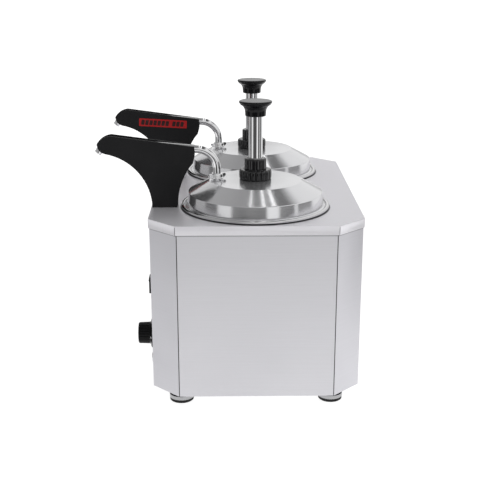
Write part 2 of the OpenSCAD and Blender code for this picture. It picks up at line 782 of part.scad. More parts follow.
module spout_arm() {
    color(black) difference() {
        upright(arm_w, arm_outline(0));
        upright(slot_w, slot_outline(0.5));
        intersection() {
            upright(slot_w, arm_outline(arm_wall));
            translate([-20, -220, cover_z + arm_foot_h]) cube([40, 200, 120]);
        }
        translate([0, wire_y, cover_z - 5]) cylinder(r = 3, h = 30);
        for (y = arm_screw_y) translate([0, y, cover_z - 1]) cylinder(r = 2, h = 9.5);
    }
}

module spout_heater() {
    bar_l = 82;
    color([0.7, 0.7, 0.72]) translate([0, -79, tube_mid(-79) - tube_r / cos(rise) - 0.6])
        rotate([-rise, 0, 0]) translate([-slot_w / 2, -bar_l, -heat_bar_h]) cube([slot_w, bar_l, heat_bar_h]);
}

// Label on the arm's face that looks towards the middle of the cabinet, on the +X side
module arm_label() {
    color([0.75, 0.05, 0.05]) translate([arm_w / 2, -90, cover_z + 67]) rotate([-3.2, 0, 0])
        translate([0, -66.5, -5.65]) cube([0.3, 66.5, 11.3]);
}

front_panel();
back_panel();
end_panel(-1);  // left_end_panel
end_panel(1);  // right_end_panel
top_cover();
base_plate();
foot_cups();
foot_pads();
base_screws();
arm_screws();
power_inlet();
inlet_screws();
terminal_block();
wiring();
unit(-1) well();  // left_well
unit(-1) well_heater();  // left_well_heater
unit(-1) thermostat();  // left_thermostat
unit(-1) dial_knob();  // left_dial_knob
unit(-1) switch_housing();  // left_switch_housing
unit(-1) rocker();  // left_rocker
unit(-1) indicator_lamp();  // left_indicator_lamp
unit(-1) pot();  // left_pot
unit(-1) lid();  // left_lid
unit(-1) pump_barrel();  // left_pump_barrel
unit(-1) valve_body();  // left_valve_body
unit(-1) intake_ball();  // left_intake_ball
unit(-1) piston();  // left_piston
unit(-1) plunger_tube();  // left_plunger_tube
unit(-1) push_knob();  // left_push_knob
unit(-1) return_spring();  // left_return_spring
unit(-1) pump_cap();  // left_pump_cap
unit(-1) lock_ring();  // left_lock_ring
unit(-1) spout_tube();  // left_spout_tube
unit(-1) wing_nut();  // left_wing_nut
unit(-1) spout_arm();  // left_spout_arm
unit(-1) spout_heater();  // left_spout_heater
unit(-1) arm_label();  // left_arm_label
unit(1) well();  // right_well
unit(1) well_heater();  // right_well_heater
unit(1) thermostat();  // right_thermostat
unit(1) dial_knob();  // right_dial_knob
unit(1) switch_housing();  // right_switch_housing
unit(1) rocker();  // right_rocker
unit(1) indicator_lamp();  // right_indicator_lamp
unit(1) pot();  // right_pot
unit(1) lid();  // right_lid
unit(1) pump_barrel();  // right_pump_barrel
unit(1) valve_body();  // right_valve_body
unit(1) intake_ball();  // right_intake_ball
unit(1) piston();  // right_piston
unit(1) plunger_tube();  // right_plunger_tube
unit(1) push_knob();  // right_push_knob
unit(1) return_spring();  // right_return_spring
unit(1) pump_cap();  // right_pump_cap
unit(1) lock_ring();  // right_lock_ring
unit(1) spout_tube();  // right_spout_tube
unit(1) wing_nut();  // right_wing_nut
unit(1) spout_arm();  // right_spout_arm
unit(1) spout_heater();  // right_spout_heater
unit(1) mirror([1, 0, 0]) arm_label();  // right_arm_label
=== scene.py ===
"""Twin nacho cheese dispenser: its looks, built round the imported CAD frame, in metres."""
import json
import math

import bmesh
import bpy
from mathutils import Matrix, Vector


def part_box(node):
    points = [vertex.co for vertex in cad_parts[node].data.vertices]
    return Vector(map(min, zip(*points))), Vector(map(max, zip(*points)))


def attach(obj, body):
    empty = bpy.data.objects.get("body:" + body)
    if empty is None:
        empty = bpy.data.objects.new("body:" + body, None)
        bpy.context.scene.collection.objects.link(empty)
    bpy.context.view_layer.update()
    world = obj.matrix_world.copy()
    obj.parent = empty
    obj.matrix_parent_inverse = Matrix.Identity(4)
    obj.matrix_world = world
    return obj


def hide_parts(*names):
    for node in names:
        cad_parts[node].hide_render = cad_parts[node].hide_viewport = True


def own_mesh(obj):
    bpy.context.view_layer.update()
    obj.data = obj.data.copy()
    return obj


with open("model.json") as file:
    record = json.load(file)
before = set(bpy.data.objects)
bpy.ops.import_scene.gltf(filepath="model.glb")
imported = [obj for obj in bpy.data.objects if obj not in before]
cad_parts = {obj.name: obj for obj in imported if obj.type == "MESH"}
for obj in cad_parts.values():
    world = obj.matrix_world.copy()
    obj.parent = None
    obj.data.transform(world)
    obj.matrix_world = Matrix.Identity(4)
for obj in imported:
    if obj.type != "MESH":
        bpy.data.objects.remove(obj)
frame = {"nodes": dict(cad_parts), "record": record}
bpy.context.view_layer.update()
MM = 0.001
NODES = frame["nodes"]
SIDES = {"left": -1, "right": 1}
BODY_OF = {n: b for b, names in frame["record"]["behaviour"]["bodies"].items() for n in names}
SLOT_OF = {s["node"]: s["material_slot"] for s in frame["record"]["subparts"]}

# The cabinet's middle in depth: the machine's own box also counts the spouts.
COVER_LO, COVER_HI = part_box("top_cover")
MID_Y = (COVER_LO.y + COVER_HI.y) / 2
COVER_Z = COVER_HI.z / MM
FACE_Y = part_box("front_panel")[0].y
FRONT = Matrix.Rotation(math.pi / 2, 4, "X")
# The end panels' half width, and where the long panels fold behind them
END_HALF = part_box("right_end_panel")[1].y - MID_Y
FOLD_Y = END_HALF + 0.0008
# The lid's flat top and the pump cap's foot, in mm from the floor, and the riser's distance in front
# of the pump's axis
LID_TOP = COVER_Z + 34.5
CAP_FOOT = COVER_Z + 46.5
RISER = 46.4


def middle(node):
    """A node's middle, as (x, y) in metres."""
    lo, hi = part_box(node)
    return (lo.x + hi.x) / 2, (lo.y + hi.y) / 2


# Node helpers ---------------------------------------------------------------

class Graph:
    """A node tree, and short calls that add nodes to it."""

    def __init__(self, tree):
        self.tree = tree

    def node(self, kind, **values):
        made = self.tree.nodes.new("ShaderNode" + kind)
        for key, value in values.items():
            if hasattr(made, key):
                setattr(made, key, value)
            else:
                made.inputs[key.replace("_", " ")].default_value = value
        return made

    def link(self, source, target):
        if isinstance(source, (int, float)):
            target.default_value = source
        else:
            self.tree.links.new(source, target)

    def math(self, operation, a, b=0.0):
        made = self.node("Math", operation=operation)
        self.link(a, made.inputs[0])
        self.link(b, made.inputs[1])
        return made.outputs[0]

    def range(self, source, start, end, low, high, smooth=False):
        """Maps start to end onto low to high, and holds the value outside."""
        made = self.node("MapRange", From_Min=start, From_Max=end, To_Min=low, To_Max=high)
        if smooth:
            made.interpolation_type = "SMOOTHSTEP"
        self.link(source, made.inputs["Value"])
        return made.outputs["Result"]

    def axes(self, kind="Object"):
        split = self.node("SeparateXYZ")
        self.link(self.node("TexCoord").outputs[kind], split.inputs[0])
        return split.outputs

    def between(self, source, low, high, soft):
        """1 where source is between low and high, 0 outside, with soft edges."""
        return self.math("MULTIPLY", self.range(source, low - soft, low, 0.0, 1.0),
                         self.range(source, high, high + soft, 1.0, 0.0))

    def away(self, source, centre):
        """How far source is from centre, either way."""
        return self.math("ABSOLUTE", self.math("SUBTRACT", source, centre))

    def mix(self, factor, a, b):
        """a where factor is 0, b where it is 1, for plain values."""
        made = self.node("Mix")
        self.link(factor, made.inputs["Factor"])
        self.link(a, made.inputs["A"])
        self.link(b, made.inputs["B"])
        return made.outputs["Result"]


class Shader(Graph):
    """A material with one Principled shader."""

    def __init__(self, name, **values):
        self.material = bpy.data.materials.new(name)
        self.material.use_nodes = True
        super().__init__(self.material.node_tree)
        self.shader = self.tree.nodes["Principled BSDF"]
        for key, value in values.items():
            self.shader.inputs[key.replace("_", " ")].default_value = value

    def noise(self, scale, detail=3.0, rough=0.55, stretch=(1, 1, 1), vector=None):
        """Noise in the object's own coordinates, scale in cycles per metre, stretched per axis."""
        mapping = self.node("Mapping")
        mapping.inputs["Scale"].default_value = stretch
        self.link(vector or self.node("TexCoord").outputs["Object"], mapping.inputs["Vector"])
        texture = self.node("TexNoise", Scale=scale, Detail=detail, Roughness=rough)
        self.link(mapping.outputs[0], texture.inputs["Vector"])
        return texture.outputs["Fac"]

    def tint(self, source, dark, light):
        mix = self.node("Mix", data_type="RGBA")
        self.link(source, mix.inputs["Factor"])
        mix.inputs["A"].default_value = (*dark, 1)
        mix.inputs["B"].default_value = (*light, 1)
        return mix.outputs["Result"]

    def colour(self, source, shade=None, dark=(0.02, 0.02, 0.022)):
        """Sets the colour, going to dark where shade is 1: painted shade, mixed into the colour, dark being
        the colour of that shade.
        """
        if shade:
            mix = self.node("Mix", data_type="RGBA")
            self.link(shade, mix.inputs["Factor"])
            self.link(source, mix.inputs["A"])
            mix.inputs["B"].default_value = (*dark, 1)
            source = mix.outputs["Result"]
        self.link(source, self.shader.inputs["Base Color"])

    def rough(self, source):
        self.link(source, self.shader.inputs["Roughness"])

    def bump(self, source, strength, distance):
        made = self.node("Bump", Strength=strength, Distance=distance)
        self.link(source, made.inputs["Height"])
        self.link(made.outputs[0], self.shader.inputs["Normal"])

    def round_axis(self):
        """(distance from the object's own Z axis, height, 0) as a vector, for turned pieces."""
        x, y, z = self.axes()
        join = self.node("CombineXYZ")
        self.link(self.math("SQRT", self.math("ADD", self.math("MULTIPLY", x, x),
                                              self.math("MULTIPLY", y, y))), join.inputs[0])
        self.link(z, join.inputs[1])
        return join.outputs[0]


# Materials ------------------------------------------------------------------

def shades(colour, spread):
    return tuple(c * (1 - spread) for c in colour), tuple(min(1.0, c * (1 + spread)) for c in colour)


def brushed(name, colour, rough, grain, shade=None, axis="Z", spread=0.8, metal=1.0):
    """Brushed sheet steel. grain is the stretch that makes the lines, long along the grain, which
    runs round axis. shade(s) gives where painted shade darkens the steel: shade in seams and joints
    and shadow under nearby parts, painted into the colour."""
    s = Shader(name, Metallic=metal, Anisotropic=spread, Anisotropic_Rotation=0.25)
    s.link(s.node("Tangent", direction_type="RADIAL", axis=axis).outputs[0], s.shader.inputs["Tangent"])
    lines = s.noise(1.0, 5.0, 0.7, grain)
    clouds = s.noise(9.0, 3.0, 0.5)
    s.colour(s.tint(s.math("ADD", s.math("MULTIPLY", lines, 0.7), s.math("MULTIPLY", clouds, 0.3)),
                    *shades(colour, 0.09)), shade and shade(s))
    s.rough(s.math("ADD", s.range(lines, 0.3, 0.7, rough - 0.05, rough + 0.05),
                   s.range(clouds, 0.3, 0.7, -0.03, 0.03)))
    s.bump(lines, 0.05, 0.0003)
    return s.material


def panel_painted_shade(s):
    """Painted shade: a painted shadow line under the cover's lip, and the folds inside the seams painted
    dark as shade.
    """
    x, y, z = s.axes()
    lip = COVER_LO.z
    return s.math("MAXIMUM", s.range(z, lip - 0.0019, lip - 0.0003, 0.0, 0.75),
                  s.range(s.away(y, MID_Y), FOLD_Y - 0.0001, FOLD_Y, 1.0, 0.0))


def end_painted_shade(s):
    """Painted shade: a painted shadow line under the cover's lip, and painted shade along the end panel's
    own upright edges, at the seams.
    """
    x, y, z = s.axes()
    lip = COVER_LO.z
    return s.math("MAXIMUM", s.range(z, lip - 0.0019, lip - 0.0003, 0.0, 0.75),
                  s.range(s.away(y, MID_Y), END_HALF - 0.0005, END_HALF, 0.0, 0.8))


def cover_painted_shadow(s):
    """A painted contact shadow: the dark line where each pot's rim sits on the cover."""
    x, y, z = s.axes()
    dx = s.away(s.math("ABSOLUTE", x), middle("right_pot")[0])
    dy = s.away(y, MID_Y)
    out = s.math("SQRT", s.math("ADD", s.math("MULTIPLY", dx, dx), s.math("MULTIPLY", dy, dy)))
    return s.range(out, 0.0903, 0.0918, 0.85, 0.0, True)


def foot_painted_shade(s):
    """Painted shade in the groove round each foot's cup, and at its joint with the base."""
    z = s.axes()[2]
    return s.math("MAXIMUM", s.between(z, 0.0088, 0.0108, 0.0003), s.range(z, 0.0136, 0.0146, 0.0, 0.8))


def lid_top_painted_shade(s):
    """Painted shade: the lid's flat top painted a little darker than its sides."""
    top = LID_TOP * MM
    return s.range(s.axes()[2], top - 0.0012, top - 0.0002, 0.0, 0.2)


def spun(name, colour, rough, groove, shade=None, metal=1.0, dull_below=None):
    """Steel spun on a lathe and polished: fine rings round the axis and a few soft smears. Below a
    height, where one is given, it is left dull."""
    s = Shader(name, Metallic=metal, Anisotropic=0.75, Anisotropic_Rotation=0.25)
    rings = s.noise(1600.0, 3.0, 0.6, vector=s.round_axis())
    smears = s.noise(26.0, 4.0, 0.6)
    # where shade is given, painted shade darkens the colour
    s.colour(s.tint(rings, *shades(colour, 0.035)), shade and shade(s))
    worn = s.math("ADD", s.range(rings, 0.3, 0.7, rough - 0.02, rough + 0.03),
                  s.range(smears, 0.45, 0.75, 0.0, 0.04))
    if dull_below is not None:
        z = s.axes()[2]
        worn = s.math("ADD", worn, s.range(z, dull_below - 0.004, dull_below, 0.3, 0.0))
        s.link(s.range(z, dull_below - 0.004, dull_below, 0.55, metal), s.shader.inputs["Metallic"])
    s.rough(worn)
    s.link(s.node("Tangent", direction_type="RADIAL", axis="Z").outputs[0], s.shader.inputs["Tangent"])
    s.bump(rings, groove, 0.0002)
    return s.material


def polished(name, colour, rough):
    """Chrome or bright steel with faint smears and hairline scratches."""
    s = Shader(name, Metallic=1.0)
    smears = s.noise(60.0, 4.0, 0.6)
    s.colour(s.tint(smears, *shades(colour, 0.03)))
    s.rough(s.range(smears, 0.4, 0.75, rough, rough + 0.06))
    s.bump(s.noise(1.0, 2.0, 0.5, (900, 900, 90)), 0.02, 0.0002)
    return s.material


def moulded(name, colour, rough, grain=900.0, depth=0.00006, level=0.5, wear=0.01):
    """Moulded plastic or rubber with a fine texture and slightly lighter, smoother rubbed patches."""
    s = Shader(name, Specular_IOR_Level=level)
    rubbed = s.range(s.noise(30.0, 4.0, 0.6), 0.45, 0.75, 0.0, 1.0)
    s.colour(s.tint(rubbed, colour, tuple(c + wear for c in colour)))
    s.rough(s.range(rubbed, 0.0, 1.0, rough + 0.04, rough - 0.04))
    s.bump(s.noise(grain, 2.0, 0.5), 0.35, depth)
    return s.material


MATERIALS = {
    # the shade functions given to the steels paint shade and shadow into their colours
    "cabinet_steel": brushed("cabinet_steel", (0.735, 0.73, 0.765), 0.46, (14, 14, 620), panel_painted_shade),
    "end_steel": brushed("end_steel", (0.735, 0.73, 0.76), 0.44, (14, 14, 620), end_painted_shade),
    "cover_steel": brushed("cover_steel", (0.88, 0.87, 0.905), 0.42, (620, 14, 14), cover_painted_shadow, "X",
                           metal=0.8),
    "inner_steel": brushed("inner_steel", (0.5, 0.5, 0.51), 0.45, (900, 5, 5)),
    "pot_steel": spun("pot_steel", (0.62, 0.62, 0.63), 0.12, 0.03, dull_below=COVER_HI.z),
    "lid_steel": spun("lid_steel", (0.73, 0.73, 0.745), 0.15, 0.05, lid_top_painted_shade, metal=0.85),
    "chrome": polished("chrome", (0.76, 0.76, 0.77), 0.05),
    "foot_steel": brushed("foot_steel", (0.42, 0.42, 0.43), 0.25, (4, 4, 900), foot_painted_shade),
    "screw_steel": polished("screw_steel", (0.55, 0.55, 0.57), 0.2),
    "nut_steel": polished("nut_steel", (0.86, 0.86, 0.87), 0.24),
    "arm_black": moulded("arm_black", (0.0075, 0.0075, 0.0085), 0.5, level=0.22, wear=0.003),
    "knob_black": moulded("knob_black", (0.004, 0.004, 0.005), 0.13, 500.0, 0.00002, level=0.22, wear=0.002),
    "grip_black": moulded("grip_black", (0.004, 0.004, 0.005), 0.1, 500.0, 0.00002, level=0.6, wear=0.002),
    "dial_black": moulded("dial_black", (0.004, 0.004, 0.0045), 0.3, 600.0, 0.00003, level=0.12, wear=0.003),
    "switch_black": moulded("switch_black", (0.006, 0.006, 0.007), 0.35, level=0.12, wear=0.003),
    "foot_rubber": moulded("foot_rubber", (0.012, 0.012, 0.012), 0.7, level=0.3),
    "lamp_red": moulded("lamp_red", (0.60, 0.02, 0.015), 0.1, 200.0, 0.00002),
    "label_red": moulded("label_red", (0.42, 0.008, 0.010), 0.4, 300.0, 0.00002, level=0.3),
    "label_ink": moulded("label_ink", (0.03, 0.004, 0.004), 0.45, 300.0, 0.00002, level=0.3, wear=0.02),
    "print_black": moulded("print_black", (0.02, 0.02, 0.02), 0.5, 300.0, 0.00002, wear=0.03),
    "print_white": moulded("print_white", (0.75, 0.75, 0.75), 0.45, 300.0, 0.00002, wear=0.05),
    "block_cream": moulded("block_cream", (0.72, 0.68, 0.58), 0.5, wear=0.03),
    "wire_red": moulded("wire_red", (0.33, 0.03, 0.025), 0.5, wear=0.03),
    "mica": moulded("mica", (0.42, 0.39, 0.33), 0.6, wear=0.04),
    "bar_aluminium": brushed("bar_aluminium", (0.6, 0.6, 0.61), 0.4, (900, 5, 900)),
    "seal_white": moulded("seal_white", (0.72, 0.72, 0.67), 0.45, wear=0.03),
}


def paint(obj, name):
    obj.data.materials.clear()
    obj.data.materials.append(MATERIALS[name])


for node, cad_object in NODES.items():
    paint(cad_object, {"left_end_panel": "end_steel", "right_end_panel": "end_steel",
                       "left_wing_nut": "nut_steel", "right_wing_nut": "nut_steel",
                       "foot_cups": "foot_steel"}.get(node, SLOT_OF[node]))


# Mesh helpers ---------------------------------------------------------------

def soften(obj, width, segments=2, angle=30):
    """Rounds a CAD node's edges: joins its split corners, clears its flat triangles, bevels."""
    weld = obj.modifiers.new("weld", "WELD")
    weld.merge_threshold = 2e-6
    flat = obj.modifiers.new("flat", "DECIMATE")
    flat.decimate_type = "DISSOLVE"
    flat.angle_limit = math.radians(0.5)
    edge = obj.modifiers.new("edge", "BEVEL")
    edge.width = width
    edge.segments = segments
    edge.limit_method = "ANGLE"
    edge.angle_limit = math.radians(angle)
    edge.harden_normals = True


def arc(centre, radius, start, end, steps=8):
    return [(centre[0] + radius * math.cos(math.radians(start + (end - start) * i / steps)),
             centre[1] + radius * math.sin(math.radians(start + (end - start) * i / steps)))
            for i in range(steps + 1)]


def rounded(points, closed=False, steps=5):
    """A line of (r, z) or (r, z, radius) points, with an arc at each point that has a radius."""
    line = []
    for i, point in enumerate(points):
        end = not closed and i in (0, len(points) - 1)
        if end or len(point) < 3:
            line.append(Vector(point[:2]))
            continue
        here = Vector(point[:2])
        back = (Vector(points[i - 1][:2]) - here).normalized()
        on = (Vector(points[(i + 1) % len(points)][:2]) - here).normalized()
        half = back.angle(on) / 2
        reach = point[2] / math.tan(half)
        a, b = here + back * reach, here + on * reach
        centre = here + (back + on).normalized() * (point[2] / math.sin(half))
        for k in range(steps + 1):
            ray = (a - centre).slerp(b - centre, k / steps)
            line.append(centre + ray)
    return [tuple(p) for p in line]


def circle(r, z, segments, ribs=0, depth=0.0):
    """A ring of points round Z. Half-round ribs stand out to r, with valleys that deep between."""
    if r < 1e-4:
        return [(0, 0, z)]
    points = []
    for i in range(segments):
        a = 2 * math.pi * i / segments
        u = 2 * ((i * ribs / segments) % 1) - 1
        here = r - depth * (1 - math.sqrt(max(0.0, 1 - u * u)))
        points.append((here * math.cos(a), here * math.sin(a), z))
    return points


def skin(rings, closed=False, bm=None):
    """A mesh through rings of points, all of one count, or of one point at an end."""
    bm = bm or bmesh.new()
    rows = [[bm.verts.new(p) for p in ring] for ring in rings]
    pairs = list(zip(rows, rows[1:])) + ([(rows[-1], rows[0])] if closed else [])
    for a, b in pairs:
        n = max(len(a), len(b))
        for i in range(n):
            j = (i + 1) % n
            loop = [a[i % len(a)], a[j % len(a)], b[j % len(b)], b[i % len(b)]]
            bm.faces.new(list(dict.fromkeys(loop)))
    bmesh.ops.recalc_face_normals(bm, faces=bm.faces)
    return bm


def piece(name, bm, slot, body, nodes=(), turn=None, place=(0, 0, 0), sharp=40):
    """Makes an object of a mesh in millimetres, puts it in place and lets it ride on its body."""
    mesh = bpy.data.meshes.new(name)
    bmesh.ops.scale(bm, vec=(MM, MM, MM), verts=bm.verts)
    bm.to_mesh(mesh)
    bm.free()
    mesh.shade_smooth()
    mesh.set_sharp_from_angle(angle=math.radians(sharp))
    obj = bpy.data.objects.new(name, mesh)
    bpy.context.scene.collection.objects.link(obj)
    if turn:
        obj.matrix_world = Matrix.Translation(place) @ turn
    else:
        obj.location = place
    weighted = obj.modifiers.new("weighted", "WEIGHTED_NORMAL")
    weighted.keep_sharp = True
    paint(obj, slot)
    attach(obj, body)
    if nodes:
        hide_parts(*nodes)
    return obj


def turned(name, line, slot, node, segments=128, closed=False):
    """A turned piece that stands for a node, from its (r, z) line, round the node's own middle."""
    bm = skin([circle(r, z, segments) for r, z in line], closed)
    return piece(name, bm, slot, BODY_OF[node], (node,), place=(*middle(node), 0))


def bore(obj, rings, at):
    """Cuts a hole through a piece: rings give the hole's shape, at a place in the piece's own mm."""
    bm = skin(rings)
    for end in (bm.verts[:len(rings[0])], bm.verts[-len(rings[-1]):]):
        bm.faces.new(end)
    bmesh.ops.recalc_face_normals(bm, faces=bm.faces)
    bmesh.ops.scale(bm, vec=(MM, MM, MM), verts=bm.verts)
    mesh = bpy.data.meshes.new("bore")
    bm.to_mesh(mesh)
    bm.free()
    tool = bpy.data.objects.new("bore", mesh)
    bpy.context.scene.collection.objects.link(tool)
    tool.matrix_world = Matrix.Translation(obj.location) @ Matrix.Translation(Vector(at) * MM)
    hole = obj.modifiers.new("hole", "BOOLEAN")
    hole.object = tool
    hole.operation = "DIFFERENCE"
    hole.solver = "EXACT"
    weighted = obj.modifiers["weighted"]
    weighted.show_viewport = False
    bpy.context.view_layer.update()
    cut = bpy.data.meshes.new_from_object(obj.evaluated_get(bpy.context.evaluated_depsgraph_get()))
    weighted.show_viewport = True
    obj.modifiers.remove(hole)
    obj.data = cut
    bpy.data.objects.remove(tool)


# Lids, pots and pumps -------------------------------------------------------

def make_lid(side):
    """The spun lid: a hemmed flange, an upright band, a cone and a flat top with holes for the pump's
    neck and the riser."""
    node = side + "_lid"
    seat = COVER_Z + 2.05
    shoulder, top = COVER_Z + 19.7, LID_TOP
    line = rounded([
        (84.5, seat, 0.4), (84.5, seat + 1, 0.4), (82.5, seat + 1, 0.9), (82.5, shoulder, 2.2),
        (56, top, 2.6), (13, top), (13, top - 1), (55.7, top - 1, 1.8), (81.5, shoulder - 0.6, 1.4),
        (81.5, seat, 0.3)], closed=True)
    lid = turned(side + "_spun_lid", line, "lid_steel", node, 192, closed=True)
    bore(lid, [circle(4.95, z, 64) for z in (top - 5, top + 5)], (0, -RISER, 0))


def make_pot(side):
    """The pot: one drawn shell, and a rolled rim round its flange."""
    node = side + "_pot"
    floor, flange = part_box(node)[0].z / MM, COVER_Z + 0.9
    shell = rounded([
        (0, floor), (80, floor, 7), (80, flange, 1.2), (87, flange, 0.3), (87, flange + 1, 0.3),
        (79.2, flange + 1, 1.6), (79.2, floor + 0.8, 6.2), (0, floor + 0.8)])
    bm = skin([circle(r, z, 160) for r, z in shell])
    skin([circle(r, z, 160) for r, z in arc((87.75, COVER_Z + 2.4), 2.25, 0, 360, 20)[:-1]], True, bm)
    piece(side + "_drawn_pot", bm, "pot_steel", BODY_OF[node], (node,), place=(*middle(node), 0))


def make_pump(side):
    """The plunger, its knob, the ribbed cap and lock ring, and the spring inside the barrel."""
    node = side + "_push_knob"
    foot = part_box(node)[0].z / MM
    neck = rounded([(0, foot + 0.2), (12.2, foot + 0.2, 0.9), (12.5, foot + 4)])
    flare = arc((22.1, foot + 5), 9.5, 180, 115, 14)
    rim = arc((18.2, foot + 16.6), 1.6, -55, 80, 8)
    crown = [(16.6, foot + 18.35), (12, foot + 18.5), (0, foot + 18.5)]
    turned(side + "_mushroom_knob", neck + flare + rim + crown, "knob_black", node, 160)

    node = side + "_plunger_tube"
    lo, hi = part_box(node)
    turned(side + "_bright_tube", rounded([
        (0, lo.z / MM), (8, lo.z / MM, 0.6), (8, hi.z / MM, 0.6), (0, hi.z / MM)]), "chrome", node)

    node = side + "_lock_ring"
    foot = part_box(node)[0].z / MM
    hole = 12.86
    # (radius, height, depth of the ribs) from the bore's foot outwards, up and back
    levels = [(hole, 0, 0), (18.3, 0, 0), (19.0, 0.3, 0.4), (19.3, 0.9, 1.1), (19.5, 3.4, 1.5),
              (19.5, 8.9, 1.5), (19.3, 10.0, 1.4), (18.7, 10.9, 1.1), (17.7, 11.35, 0.5), (16.8, 11.5, 0),
              (hole + 0.4, 11.5, 0), (hole, 11.1, 0)]
    piece(side + "_grip_ring", skin([circle(r, foot + z, 288, 18, d) for r, z, d in levels], True),
          "grip_black", BODY_OF[node], (node,), place=(*middle(node), 0), sharp=50)

    node = side + "_pump_cap"
    lo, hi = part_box(node)
    low, foot, hole = lo.z / MM, CAP_FOOT, 8.06
    # the same for the cap, with its plain sleeve below the ribs
    levels = [(hole, low, 0), (10.2, low, 0), (10.5, low + 0.4, 0), (10.5, foot, 0), (12.6, foot, 0),
              (13.2, foot + 0.4, 0.2), (13.3, foot + 1.2, 0.5), (13.3, foot + 11.1, 0.5),
              (13.0, foot + 12.1, 0.4), (12.3, foot + 12.8, 0.2), (11.4, foot + 13.1, 0),
              (hole + 0.5, foot + 13.1, 0), (hole, foot + 12.7, 0)]
    piece(side + "_grip_cap", skin([circle(r, z, 240, 12, d) for r, z, d in levels], True),
          "grip_black", BODY_OF[node], (node,), place=(*middle(node), 0), sharp=50)

    node = side + "_return_spring"
    lo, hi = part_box(node)
    turns, coil_r, wire, sides = 9, 10.6, 0.9, 10
    low, high = lo.z / MM + wire, hi.z / MM - wire
    steps = turns * 40
    rings = []
    for i in range(steps + 1):
        t = i / steps
        # the end turns lie flat
        rise = low + (high - low) * min(1.0, max(0.0, (t - 0.06) / 0.88))
        a = 2 * math.pi * turns * t
        rings.append([((coil_r + wire * math.cos(b)) * math.cos(a),
                       (coil_r + wire * math.cos(b)) * math.sin(a),
                       rise + wire * math.sin(b))
                      for b in (2 * math.pi * k / sides for k in range(sides))])
    bm = skin(rings)
    for ring in (bm.verts[:sides], bm.verts[-sides:]):
        bm.faces.new(ring)
    x, y = middle(node)
    coil = piece(side + "_coil", bm, "screw_steel", BODY_OF[node], (node,), place=(x, y, 0))
    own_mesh(coil)


def make_spout(side):
    """The bent spout tube, with a stepped nozzle at its tip."""
    node = side + "_spout_tube"
    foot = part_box(node)[0].z / MM
    # how many degrees the reach rises and the tip drops, and the radii of the two bends
    rise, drop, bend, tip = 5, 50, 24, 16
    reach, wall_r, bore_r, sides = 101, 4.75, 3.6, 40
    turn = 90 - rise
    neck = Vector((-RISER - bend, COVER_Z + 46))
    line = [(-RISER, foot, 90)]
    line += [(*p, 90 + turn * i / 24) for i, p in enumerate(arc(neck, bend, 0, turn, 24))]
    along = Vector((-math.cos(math.radians(rise)), math.sin(math.radians(rise))))
    front = Vector(line[-1][:2]) + along * reach
    centre = front - tip * Vector((math.cos(math.radians(turn)), math.sin(math.radians(turn))))
    line += [(*p, 90 + turn + (rise + drop) * i / 18)
             for i, p in enumerate(arc(centre, tip, turn, turn + rise + drop, 18))]
    end = Vector(line[-1][:2])
    heading = Vector((-math.cos(math.radians(drop)), -math.sin(math.radians(drop))))
    # rings along the tube as (y, z, angle, radius), out along the wall and back into the nozzle's bore
    outside = [(*line[0], wall_r - 0.45), (line[0][0], line[0][1] + 0.4, 90, wall_r)]
    outside += [(*p, wall_r) for p in line[1:]]
    outside += [(*(end + heading * at), 90 + turn + rise + drop, r) for at, r in (
        (6.1, wall_r), (6.4, 4.6), (6.5, 4.25), (8.7, 4.25), (8.9, 4.4), (9.3, 4.4), (9.5, 4.1))]
    inside = [(*(end + heading * at), 90 + turn + rise + drop, r)
              for at, r in ((9.5, bore_r + 0.15), (9.2, bore_r), (0, bore_r))]
    rings = []
    for y, z, angle, r in outside + inside:
        a = math.radians(angle)
        rings.append([(r * math.sin(b), y + r * math.cos(b) * math.sin(a),
                       z - r * math.cos(b) * math.cos(a))
                      for b in (2 * math.pi * k / sides for k in range(sides))])
    bm = skin(rings)
    bm.verts.ensure_lookup_table()
    bm.faces.new(bm.verts[:sides])
    bm.faces.new(bm.verts[-sides:])
    bmesh.ops.recalc_face_normals(bm, faces=bm.faces)
    piece(side + "_gooseneck", bm, "chrome", BODY_OF[node], (node,), place=(middle(node)[0], MID_Y, 0))


# Labels, controls and inlet --------------------------------------------------

def slab(bm, outline, low, high, at=(0, 0), turn=0.0):
    """Adds a plate to a mesh: an (x, y) outline, turned in degrees, moved, and thick from low to high."""
    c, s = math.cos(math.radians(turn)), math.sin(math.radians(turn))
    points = [(x * c - y * s + at[0], x * s + y * c + at[1]) for x, y in outline]
    rows = [[bm.verts.new((*p, z)) for p in points] for z in (low, high)]
    bm.faces.new(rows[0][::-1])
    bm.faces.new(rows[1])
    for i in range(len(points)):
        j = (i + 1) % len(points)
        bm.faces.new((rows[0][i], rows[0][j], rows[1][j], rows[1][i]))
    return bm


def oblong(length, height, corner, lean=0.0):
    """A rounded rectangle about the origin, leaning by so much at its top."""
    x, y = length / 2, height / 2
    return rounded([(x - lean, -y, corner), (x + lean, y, corner), (lean - x, y, corner),
                    (-x - lean, -y, corner)], closed=True)


def make_label(side):
    """The red strip on the arm, with plain slanted bars instead of lettering."""
    node = side + "_arm_label"
    lo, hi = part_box(node)
    place = (lo + hi) / 2
    facing = -SIDES[side]
    # local x runs along the arm towards the back, y upwards and z out of the arm's face
    turn = Matrix(((0, 0, facing, 0), (1, 0, 0, 0), (0, 1, 0, 0), (0, 0, 0, 1)))
    turn = Matrix.Rotation(math.radians(-3.2), 4, "X") @ turn
    half = (hi.x - lo.x) / MM / 2
    piece(side + "_label_plate", slab(bmesh.new(), oblong(66.4, 11.2, 1.2), -half, half), "label_red",
          "root", (node,), turn, place)
    # seven bars, a gap, and three more
    bars, first, pitch, gap = bmesh.new(), -27.6, 5.6, 3.6
    for i in range(10):
        at = first + pitch * i + (gap if i > 6 else 0)
        slab(bars, oblong(3.4, 5.8, 0.5, 0.4), half - 0.05, half + 0.12, (at * facing, 0))
    piece(side + "_label_bars", bars, "label_ink", "root", (), turn, place)


